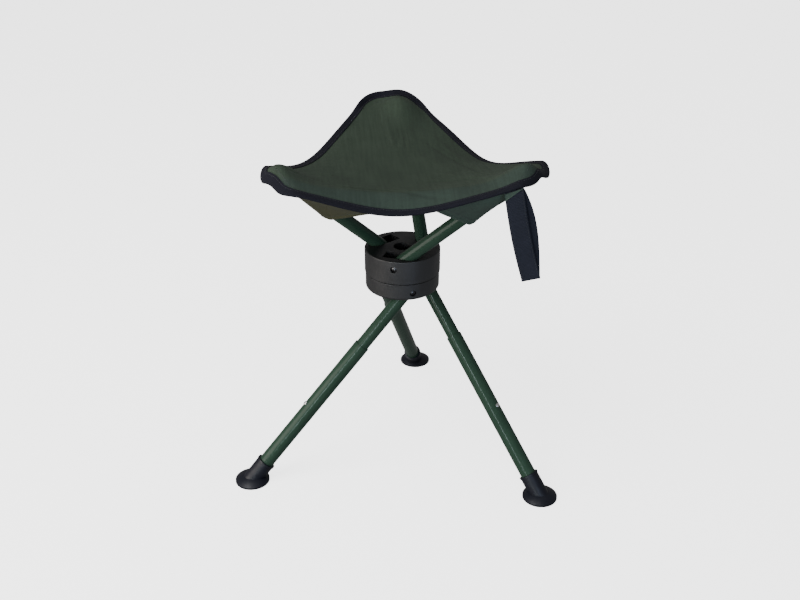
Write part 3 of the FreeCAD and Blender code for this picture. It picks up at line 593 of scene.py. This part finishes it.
# Seat cloth: pitch and depth of the weave, the strip before the front crease with its painted bluish sheen,
# and the pockets' colours, which hold painted light
WEAVE_PITCH = 0.00055
WEAVE_DEPTH = 0.00010
# Front strip's painted bluish sheen: lengths along the cloth where it fades in, and its colour multiple
FRONT_STRIP_PAINTED_SHEEN = (-0.098, -0.106, (0.94, 0.96, 1.09))
# Pockets right, back and left are one cloth in three tones of painted light: greener grey at the right,
# warmer olive at the left
POCKET_PAINTED_LIGHT_TONES = [(64, 78, 69), (54, 64, 54), (66, 66, 46)]
cloth = woven("seat_cloth", tone(55, 66, 55), WEAVE_PITCH, WEAVE_DEPTH, streak=0.25, painted_sheen_strip=FRONT_STRIP_PAINTED_SHEEN)
painted_light_pocket_cloths = [woven("pocket_cloth_%d" % (index + 1), tone(*values), WEAVE_PITCH, WEAVE_DEPTH)
                 for index, values in enumerate(POCKET_PAINTED_LIGHT_TONES)]
tape = woven("edge_tape", tone(23, 23, 31), 0.0006, 0.00018, rib=0.0014, sheen=0.02)
webbing = woven("strap_webbing", tone(36, 38, 47), 0.0009, 0.00028, rib=0.0020, sheen=0.03)
seam_thread = thread("seam_thread", tone(34, 38, 40))
tape_thread = thread("tape_thread", tone(20, 20, 27))

FINISHES = [
    ("arm_tube", paint), ("leg_inner_tube", paint), ("leg_outer_tube", paint),
    ("lower_hub", plastic), ("upper_hub", plastic), ("foot", rubber), ("arm_cap", cap),
    ("leg_pivot_screws", dark_steel), ("arm_pivot_screws", dark_steel),
    ("swivel_bolt", bolt_steel), ("swivel_nut", bolt_steel), ("head_washer", bolt_steel),
    ("nut_washer", bolt_steel), ("leg_button", button_steel), ("leg_spring", spring_steel),
    ("glide_washer", glide),
]
for name, thing in nodes.items():
    for start, finish in FINISHES:
        if name.startswith(start):
            thing.data.materials.clear()
            thing.data.materials.append(finish)


# Seat cloth, in three sectors that meet along the edges' middles

places, inwards = outline()
shares = np.linspace(0, 1, ROWS + 1)[1:]
warp = direction(corner_turn(1))
weft = np.array([warp[1], -warp[0]])


def sector_rows(index):
    return [(index * SIDE_STEPS + step) % (3 * SIDE_STEPS) for step in range(SIDE_STEPS + 1)]


def bend(piece):
    """Bakes a piece's placement into its mesh."""
    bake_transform(piece)


def make_sector(index):
    rim = places[sector_rows(index)]
    columns = len(rim)
    plan = np.concatenate([[[0, 0]], (shares[:, None, None] * rim[None]).reshape(-1, 2)])
    normals = cloth_normals(plan)
    top = np.column_stack([plan, cloth_height(plan)])
    bottom = top - normals * CLOTH
    count = len(plan)
    faces = []
    for base, flip in ((0, False), (count, True)):
        for column in range(columns - 1):
            face = [base, base + 1 + column, base + 2 + column]
            faces.append(face[::-1] if flip else face)
        faces += grid_faces(ROWS, columns, flip=not flip, base=base + 1)
    border = [0] + [1 + row * columns for row in range(ROWS)]
    border += [1 + (ROWS - 1) * columns + column for column in range(1, columns)]
    border += [1 + row * columns + columns - 1 for row in range(ROWS - 2, -1, -1)]
    faces += side_faces(border, count)
    uvs = np.column_stack([plan @ weft, plan @ warp])
    piece = mesh_piece("seat_cloth_%d" % (index + 1), np.concatenate([top, bottom]), faces, cloth,
                       np.concatenate([uvs, uvs]), np.concatenate([normals, -normals]))
    bend(piece)
    return piece


sectors = [make_sector(index) for index in range(3)]

# Edge tape: inset from the edge and height over the cloth, in millimetres

TAPE_SECTION = [
    (9.9, -0.1), (9.9, 0.7), (9.5, 0.95), (8.4, 1.05), (7.5, 0.85), (6.6, 1.1), (4.4, 1.25), (2.2, 1.3),
    (0.6, 1.1), (-0.6, 0.5), (-1.2, -0.6), (-0.6, -1.7), (0.6, -2.3), (2.2, -2.5), (5.0, -2.4),
    (6.8, -2.25), (7.5, -2.05), (8.4, -2.2), (9.5, -2.1), (9.9, -1.8), (9.9, -1.1),
]
# Common width of the tape, the largest inset of its section, in metres
TAPE_REACH = 0.0099
# Width of the tape at azimuths round the seat, against its common width
TAPE_WIDTHS = [
    (-180, 1.3), (-160, 1.5), (-142, 1.5), (-130, 1.3), (-120, 1.05), (-100, 0.96), (-78, 0.84),
    (-58, 0.80), (-40, 0.90), (-22, 1.0), (-6, 1.25), (20, 1.35), (45, 1.35), (75, 1.15), (90, 0.8),
    (98, 1.0), (140, 1.05), (180, 1.3),
]
# Rounds in which the widths are fitted to the cloth's slope
WIDTH_ROUNDS = 3
# Columns of the section that carry stitches
TAPE_STITCH_COLUMNS = (("top", 4), ("under", 16))


def fitted_widths():
    """Multiples of the tape's reach at the outline's points, so that its width lies along the slope."""
    azimuths = np.degrees(np.arctan2(places[:, 1], places[:, 0]))
    wanted = np.interp(azimuths, *zip(*TAPE_WIDTHS))
    scales = wanted
    for _ in range(WIDTH_ROUNDS):
        inner = places + inwards * (TAPE_REACH * scales)[:, None]
        fall = cloth_height(inner, creased=False) - cloth_height(places, creased=False)
        scales = scales * wanted * TAPE_REACH / np.hypot(TAPE_REACH * scales, fall)
    return scales


def tape_rings():
    """Rings of points of the tape at the outline's points."""
    scales = fitted_widths()
    rings = np.zeros((len(places), len(TAPE_SECTION), 3))
    for column, (inset, height) in enumerate(TAPE_SECTION):
        plan = places + inwards * (inset * scales / 1000)[:, None]
        lie = np.column_stack([plan, cloth_height(plan, creased=False)])
        rings[:, column] = lie + cloth_normals(plan) * height / 1000
    return rings


tape_loop = tape_rings()
tape_normals = surface_normals(np.concatenate([tape_loop[-2:], tape_loop, tape_loop[:2]]))[2:-2]
tape_girths = lengths_along(np.array(TAPE_SECTION)) / 1000
tape_lengths = lengths_along(np.concatenate([places, places[:1]]))


def make_tape(index):
    where = sector_rows(index)
    along = tape_lengths[index * SIDE_STEPS:index * SIDE_STEPS + SIDE_STEPS + 1]
    piece = sweep("edge_tape_%d" % (index + 1), tape_loop[where], tape, along, tape_girths,
                  normals=tape_normals[where])
    bend(piece)
    threads = []
    for side, column in TAPE_STITCH_COLUMNS:
        row = stitches("tape_%s_thread_%d" % (side, index + 1), tape_loop[where][:, column],
                       tape_normals[where][:, column], TAPE_STITCH, tape_thread)
        bend(row)
        threads.append(row)
    return [piece] + threads


tapes = [make_tape(index) for index in range(3)]
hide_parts("seat_binding")
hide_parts("seat_panel")

# Seam that closes each pocket, across the corner's end

END_SEAM_INSET = 0.0135
END_SEAM_HALF = 0.026
END_SEAM_POINTS = 30


def make_end_seam(index):
    end = direction(corner_turn(index))
    aside = np.linspace(-END_SEAM_HALF, END_SEAM_HALF, END_SEAM_POINTS)[:, None] * left_of(end)
    plan = end * (CORNERS[index][0] - END_SEAM_INSET) + aside
    path = np.column_stack([plan, cloth_height(plan)])
    row = stitches("end_seam_%d" % (index + 1), path, cloth_normals(plan), END_STITCH, seam_thread)
    bend(row)
    return row


seams = [make_end_seam(index) for index in range(3)]

# Pockets under the corners

# Hem's place on the arm's line, the closed end's inset and the seams' inset from the outline, then the
# slack at the hem and the cloth's thickness
POCKET_HEM = 0.110
POCKET_END_INSET = 0.0089
POCKET_SEAM = 0.0060
POCKET_SLACK = 0.0055
POCKET_CLOTH = 0.0011
POCKET_ROWS = 36
POCKET_COLUMNS = 61
# Farthest place where a seam is searched for, and halvings of the search
SEAM_SEARCH = 0.25
SEAM_HALVINGS = 22
# Length from hem to end on the UV map
POCKET_LENGTH = 0.08
# How far the hem runs back towards the hub at its seams, against its half width, and how fast that fades
POCKET_SLANTS = (0.50, 0.36, 0.12)
SLANT_POWER = 1.3
# Sag of the half that faces the front, that half's side, and the powers that shape the sag
POCKET_BAGS = (0.010, 0, 0.002)
FRONT_SIDES = (-1, 0, 1)
BAG_ACROSS = 1.3
BAG_ALONG = 1.2
BAG_FULLNESS = 1.5
# Clearances from the tube, at the seams, at the closed end and under the seat's cloth
TUBE_GAP = 0.0006
SEAM_GAP = 0.0012
END_GAP = 0.0008
COVER_GAP = 0.0008
CLOSING_POWER = 1.6
# Section from the arm's line to a seam: the flat share, then the rise's straight part, the power of the
# rest, a bulge and a faint wave
FLAT_SHARE = 0.12
RISE_STRAIGHT = 0.55
RISE_POWER = 1.7
RISE_BULGE = 0.05
RISE_WAVE = 0.02
WAVE_TURNS = (9, 7)
SPACING_POWER = 1.15
# Rolled hem, in metres: half thickness, half breadth, inset, and girth per radian
HEM_THICK = 0.0011
HEM_BREADTH = 0.0035
HEM_INSET = 0.003
HEM_GIRTH = 0.002
HEM_SIDES = 8
HEM_STITCH_ROW = 3
HEM_STITCH_SKIP = 0.004


def seam_limit(foot, way):
    """How far the seam lies from the arm's line, one way across it, by halving."""
    near, far = 0.0, SEAM_SEARCH
    for _ in range(SEAM_HALVINGS):
        middle = (near + far) / 2
        if rim_gap((foot + way * middle)[None])[0] > POCKET_SEAM:
            near = middle
        else:
            far = middle
    return near


def pocket_seams(index, foot, share):
    """Both ends of a line across a pocket, from its foot on the arm's line: way in plan and height."""
    arm = direction(ARM_TURN + index * STEP)
    ends = []
    for side in (-1, 1):
        way = left_of(arm) * side - arm * POCKET_SLANTS[index] * (1 - share) ** SLANT_POWER
        reach = way * seam_limit(foot, way)
        height = cloth_height((foot + reach)[None], creased=False)[0] - CLOTH - SEAM_GAP
        ends.append((reach, height))
    return ends


def pocket_rise(across, share):
    """Share of the height from a pocket's bottom to its seam, at a place across it."""
    fall = max(abs(across) - FLAT_SHARE, 0) / (1 - FLAT_SHARE)
    rise = RISE_STRAIGHT * fall + (1 - RISE_STRAIGHT) * fall ** RISE_POWER
    rise = rise + RISE_BULGE * math.sin(math.pi * fall)
    return min(rise * (1 - RISE_WAVE * math.sin(WAVE_TURNS[0] * share + WAVE_TURNS[1] * across)), 1)


def pocket_bag(index, across, share):
    """How far a pocket's front half sags below its even shape."""
    if across * FRONT_SIDES[index] <= 0:
        return 0
    along = math.sin(math.pi * share ** BAG_ALONG) ** BAG_FULLNESS
    return POCKET_BAGS[index] * math.sin(math.pi * abs(across) ** BAG_ACROSS) * along


def pocket_line(share, index):
    """Points across a pocket, from seam to seam, round under the arm; share runs from hem to end."""
    tilt = math.radians(ARM_TILT)
    tip = ARM_PIVOT_REACH + ARM_LENGTH * math.sin(tilt)
    end = CORNERS[index][0] - POCKET_END_INSET
    station = POCKET_HEM + (end - POCKET_HEM) * share
    foot = beside_arm(index, station)
    ends = pocket_seams(index, foot, share)
    under_tube = (TUBE_RADIUS + TUBE_GAP) / math.sin(tilt)
    slack = POCKET_SLACK * max(tip - station, 0) / (tip - POCKET_HEM)
    bottom = (ARM_PIVOT_HEIGHT + (min(station, tip) - ARM_PIVOT_REACH) / math.tan(tilt)
              - under_tube - slack)
    past = max(station - tip, 0) / (end - tip)
    closed = min(ends[0][1], ends[1][1]) - END_GAP
    bottom = bottom + (closed - bottom) * past ** CLOSING_POWER
    line = []
    for across in np.linspace(-1, 1, POCKET_COLUMNS):
        reach, height = ends[1 if across > 0 else 0]
        spot = foot + reach * abs(across) ** SPACING_POWER
        level = bottom + (height - bottom) * pocket_rise(across, share) - pocket_bag(index, across, share)
        cover = cloth_height(spot[None], creased=False)[0] - CLOTH - COVER_GAP
        line.append((*spot, min(level, cover)))
    return np.array(line)


def make_pocket_cloth(index, outer, normals, widths):
    inner = outer - normals * POCKET_CLOTH
    flat = np.concatenate([outer.reshape(-1, 3), inner.reshape(-1, 3)])
    size = POCKET_ROWS * POCKET_COLUMNS
    faces = grid_faces(POCKET_ROWS, POCKET_COLUMNS)
    faces += grid_faces(POCKET_ROWS, POCKET_COLUMNS, flip=True, base=size)
    faces += side_faces(grid_border(POCKET_ROWS, POCKET_COLUMNS), size, flip=True)
    lengths = np.linspace(0, 1, POCKET_ROWS) * POCKET_LENGTH
    uvs = np.stack(np.broadcast_arrays(widths[None, :], lengths[:, None]), -1).reshape(-1, 2)
    facing = np.concatenate([normals.reshape(-1, 3), -normals.reshape(-1, 3)])
    piece = mesh_piece("pocket_cloth_%d" % (index + 1), flat, faces, painted_light_pocket_cloths[index],
                       np.concatenate([uvs, uvs]), facing)
    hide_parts("corner_pocket_%d" % (index + 1))
    bend(piece)
    return piece


def make_hem(index, line, normals, along, widths):
    """Rolled hem along a pocket's first line."""
    turns = np.linspace(0, 2 * math.pi, HEM_SIDES + 1)[:-1]
    rings = []
    for point, normal, way in zip(line, normals, along):
        centre = point - normal * POCKET_CLOTH / 2
        way = way / np.linalg.norm(way)
        rings.append([centre + normal * HEM_THICK * math.sin(turn)
                      + way * (HEM_BREADTH * math.cos(turn) + HEM_INSET) for turn in turns])
    hem = sweep("pocket_hem_%d" % (index + 1), rings, painted_light_pocket_cloths[index], widths, turns * HEM_GIRTH)
    bend(hem)
    return hem


def make_pocket(index):
    outer = np.array([pocket_line(share, index) for share in np.linspace(0, 1, POCKET_ROWS)])
    along = np.gradient(outer, axis=0)
    normals = np.cross(np.gradient(outer, axis=1), along)
    normals /= np.linalg.norm(normals, axis=2)[:, :, None]
    widths = lengths_along(outer[0])
    piece = make_pocket_cloth(index, outer, normals, widths)
    hem = make_hem(index, outer[0], normals[0], along[0], widths)
    row = stitches("hem_thread_%d" % (index + 1), outer[HEM_STITCH_ROW], normals[HEM_STITCH_ROW],
                   HEM_STITCH, seam_thread, HEM_STITCH_SKIP)
    bend(row)
    return [piece, hem, row]


pockets = [make_pocket(index) for index in range(3)]

# Carry strap: webbing doubled to a loop below the edge near the right corner

STRAP_WIDTH = 0.025
STRAP_LENGTH = 0.1277
STRAP_THICK = 0.0014
STRAP_APART = 0.0026
# Slant in degrees, and the root's place along the edge, inset from it and height
STRAP_SLANT = 13
STRAP_ASIDE = 0.12795
STRAP_INSET = 0.0028
STRAP_HEIGHT = 0.4601
# How far the webbing starts above the root, and how far each layer bulges out
STRAP_TUCK = 0.0015
STRAP_SWELL = 0.0016
# Sideways bows of the layers, opposite ways, and the power that puts the back one's widest place lower
FRONT_BOW = 0.0025
BACK_BOW = 0.0085
BOW_POWER = 0.8
# Turn of the lower end in degrees, and rise of the top's right edge with the share's multiple that ends it
STRAP_TURN = 4
STRAP_LIFT = 0.0008
LIFT_FADE = 8
LAYER_STEPS = 30
FOLD_STEPS = 10
# Place of the stitches in half widths
STRAP_STITCH_REACH = 0.84
# Webbing's section: across in half widths and out in thicknesses
WEBBING_SECTION = [
    (-1.0, 0.0), (-0.985, 0.42), (-0.94, 0.5), (-0.5, 0.47), (0.0, 0.45), (0.5, 0.47), (0.94, 0.5),
    (0.985, 0.42), (1.0, 0.0), (0.985, -0.42), (0.94, -0.5), (0.5, -0.47), (0.0, -0.45),
    (-0.5, -0.47), (-0.94, -0.5), (-0.985, -0.42),
]
# Flap of pocket cloth over the strap's root, deepest at its left: drop there and the power that it ends
# with, gap to the webbing, thickness, margin beside the webbing, rise over the root and the top's slope
TAB_DROP = 0.0095
TAB_POWER = 1.1
TAB_GAP = 0.0003
TAB_THICK = 0.0007
TAB_MARGIN = 0.0008
TAB_RAISE = 0.0006
TAB_SLOPE = 0.0020
TAB_ROWS = 6
TAB_COLUMNS = 16

strap_slant = math.radians(STRAP_SLANT)
front_turn = corner_turn(0) - HALF_STEP
up = np.array([0.0, 0.0, 1.0])
outward = np.array([*direction(front_turn), 0.0])
sideways = np.array([*left_of(direction(front_turn)), 0.0])
strap_down = sideways * math.sin(strap_slant) - up * math.cos(strap_slant)
strap_across = sideways * math.cos(strap_slant) + up * math.sin(strap_slant)
strap_root = sideways * STRAP_ASIDE + outward * (EDGES[2][0] - STRAP_INSET) + up * STRAP_HEIGHT


def layer_centre(share, facing, bow):
    """Centre of one of the strap's layers at a share of its length."""
    swell = STRAP_SWELL * math.sin(math.pi * share)
    return (strap_root + strap_down * (share * STRAP_LENGTH - STRAP_TUCK)
            + facing * (STRAP_APART / 2 + swell) + strap_across * bow)


def strap_path():
    """Stations down the front layer, round the fold and up the back layer: centre, the way that the
    outer face looks, and share of the strap's length."""
    path = []
    for step in range(LAYER_STEPS):
        share = step / LAYER_STEPS
        bow = -FRONT_BOW * math.sin(math.pi * share)
        path.append((layer_centre(share, outward, bow), outward, share))
    for step in range(FOLD_STEPS + 1):
        angle = math.pi * step / FOLD_STEPS
        lap = outward * math.cos(angle) + strap_down * math.sin(angle)
        end = strap_root + strap_down * (STRAP_LENGTH - STRAP_TUCK)
        path.append((end + lap * STRAP_APART / 2, lap, 1))
    for step in range(1, LAYER_STEPS + 1):
        share = 1 - step / LAYER_STEPS
        bow = BACK_BOW * math.sin(math.pi * share ** BOW_POWER)
        path.append((layer_centre(share, -outward, bow), -outward, share))
    return path


def strap_ring(centre, facing, share):
    turn = math.radians(STRAP_SLANT - STRAP_TURN * share ** 2)
    level = sideways * math.cos(turn) + up * math.sin(turn)
    lift = max(1 - share * LIFT_FADE, 0) * STRAP_LIFT
    return [centre + level * STRAP_WIDTH / 2 * across - strap_down * lift * (across + 1)
            + facing * STRAP_THICK * thick for across, thick in WEBBING_SECTION]


def make_strap():
    path = strap_path()
    centres = np.array([centre for centre, facing, share in path])
    facings = np.array([facing for centre, facing, share in path])
    widths = np.array([across * STRAP_WIDTH / 2 for across, thick in WEBBING_SECTION])
    piece = sweep("strap_webbing", [strap_ring(*station) for station in path], webbing,
                  lengths_along(centres), widths)
    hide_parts("carry_strap")
    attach(piece, "strap")
    back_start = LAYER_STEPS + FOLD_STEPS + 2
    for name, layer in (("front", slice(0, LAYER_STEPS)), ("back", slice(back_start, None))):
        for edge, side in (("left", -1), ("right", 1)):
            line = (centres[layer] + strap_across * STRAP_WIDTH / 2 * STRAP_STITCH_REACH * side
                    + facings[layer] * STRAP_THICK / 2)
            row = stitches("strap_%s_thread_%s" % (name, edge), line, facings[layer], STRAP_STITCH,
                           tape_thread)
            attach(row, "strap")


def make_tab():
    front = strap_root + outward * (STRAP_APART / 2 + STRAP_THICK / 2 + TAB_GAP)
    points = []
    for layer in (TAB_THICK, 0.0):
        for row in range(TAB_ROWS):
            for column in range(TAB_COLUMNS):
                run = column / (TAB_COLUMNS - 1)
                drop = TAB_DROP * (1 - run) ** TAB_POWER * row / (TAB_ROWS - 1)
                points.append(front + strap_across * (STRAP_WIDTH / 2 + TAB_MARGIN) * (2 * run - 1)
                              + outward * layer + strap_down * (drop - TAB_RAISE - TAB_SLOPE * run))
    size = TAB_ROWS * TAB_COLUMNS
    faces = grid_faces(TAB_ROWS, TAB_COLUMNS, flip=True) + grid_faces(TAB_ROWS, TAB_COLUMNS, base=size)
    faces += side_faces(grid_border(TAB_ROWS, TAB_COLUMNS), size)
    uvs = np.array([((point - front) @ strap_across, (point - front) @ strap_down) for point in points])
    # The flap takes the right pocket's cloth, with its painted light
    tab = mesh_piece("strap_tab", points, faces, painted_light_pocket_cloths[0], uvs)
    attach(tab, "strap")


make_strap()
make_tab()


# Stage, light and camera

FLOOR_RADII = (0.4, 1.0, 2.5, 6.0, 14.0)
FLOOR_TURNS = 96
FLOOR_DROP = 0.0004
FLOOR_GLOW = 2.85
WORLD_LIGHT = 0.25
LIGHT_TARGET = Vector((0, 0, 0.3))
# The photograph's view: place in metres, angles in degrees, lens and sensor in millimetres
CAMERA_PLACE = (0.3136, -1.3198, 0.9585)
CAMERA_AZIMUTH = 103.51
CAMERA_PITCH = 27.745
CAMERA_LENS = 47.76
CAMERA_SENSOR = 36


def make_floor():
    points = [(0, 0, 0)]
    for radius in FLOOR_RADII:
        for turn in range(FLOOR_TURNS):
            angle = 2 * math.pi * turn / FLOOR_TURNS
            points.append((radius * math.cos(angle), radius * math.sin(angle), 0))
    faces = [[0, 1 + turn, 1 + (turn + 1) % FLOOR_TURNS] for turn in range(FLOOR_TURNS)]
    faces += grid_faces(len(FLOOR_RADII), FLOOR_TURNS, around=True, flip=True, base=1)
    made = Finish("floor_paper", (0.80, 0.80, 0.80), roughness=0.9, specular_ior_level=0.0)
    made.set("Emission Color", (1, 1, 1, 1))
    made.set("Emission Strength", FLOOR_GLOW)
    floor = mesh_piece("floor", points, faces, made.material)
    floor.location.z = -FLOOR_DROP
    floor.visible_diffuse = False
    floor.visible_glossy = False


def area_light(name, place, wide, tall, power, colour=(1, 1, 1)):
    lamp = bpy.data.lights.new(name, "AREA")
    lamp.shape = "RECTANGLE"
    lamp.size = wide
    lamp.size_y = tall
    lamp.energy = power
    lamp.color = colour
    thing = bpy.data.objects.new(name, lamp)
    bpy.context.scene.collection.objects.link(thing)
    thing.location = place
    thing.rotation_mode = "QUATERNION"
    thing.rotation_quaternion = (LIGHT_TARGET - Vector(place)).to_track_quat("-Z", "Y")


def make_world():
    world = bpy.data.worlds.new("studio")
    world.use_nodes = True
    background = world.node_tree.nodes["Background"]
    background.inputs["Color"].default_value = (1, 1, 1, 1)
    background.inputs["Strength"].default_value = WORLD_LIGHT
    bpy.context.scene.world = world


def make_camera():
    azimuth, pitch = math.radians(CAMERA_AZIMUTH), math.radians(CAMERA_PITCH)
    level = math.cos(pitch)
    look = Vector((math.cos(azimuth) * level, math.sin(azimuth) * level, -math.sin(pitch)))
    data = bpy.data.cameras.new("camera")
    data.sensor_fit = "HORIZONTAL"
    data.sensor_width = CAMERA_SENSOR
    data.lens = CAMERA_LENS
    camera = bpy.data.objects.new("camera", data)
    bpy.context.scene.collection.objects.link(camera)
    camera.location = CAMERA_PLACE
    camera.rotation_mode = "QUATERNION"
    camera.rotation_quaternion = look.to_track_quat("-Z", "Y")
    bpy.context.scene.camera = camera


make_floor()
area_light("key", (-0.9, -1.1, 2.4), wide=1.6, tall=1.6, power=48)
area_light("front", (-0.26, -1.82, 0.62), wide=0.14, tall=1.1, power=11, colour=(0.84, 0.95, 1.0))
area_light("warm", (-1.3, -1.2, 0.50), wide=1.5, tall=0.9, power=21, colour=(1.0, 0.94, 0.87))
area_light("cool", (1.0, -1.4, 0.40), wide=0.5, tall=0.7, power=6, colour=(0.60, 0.74, 1.0))
make_world()
make_camera()
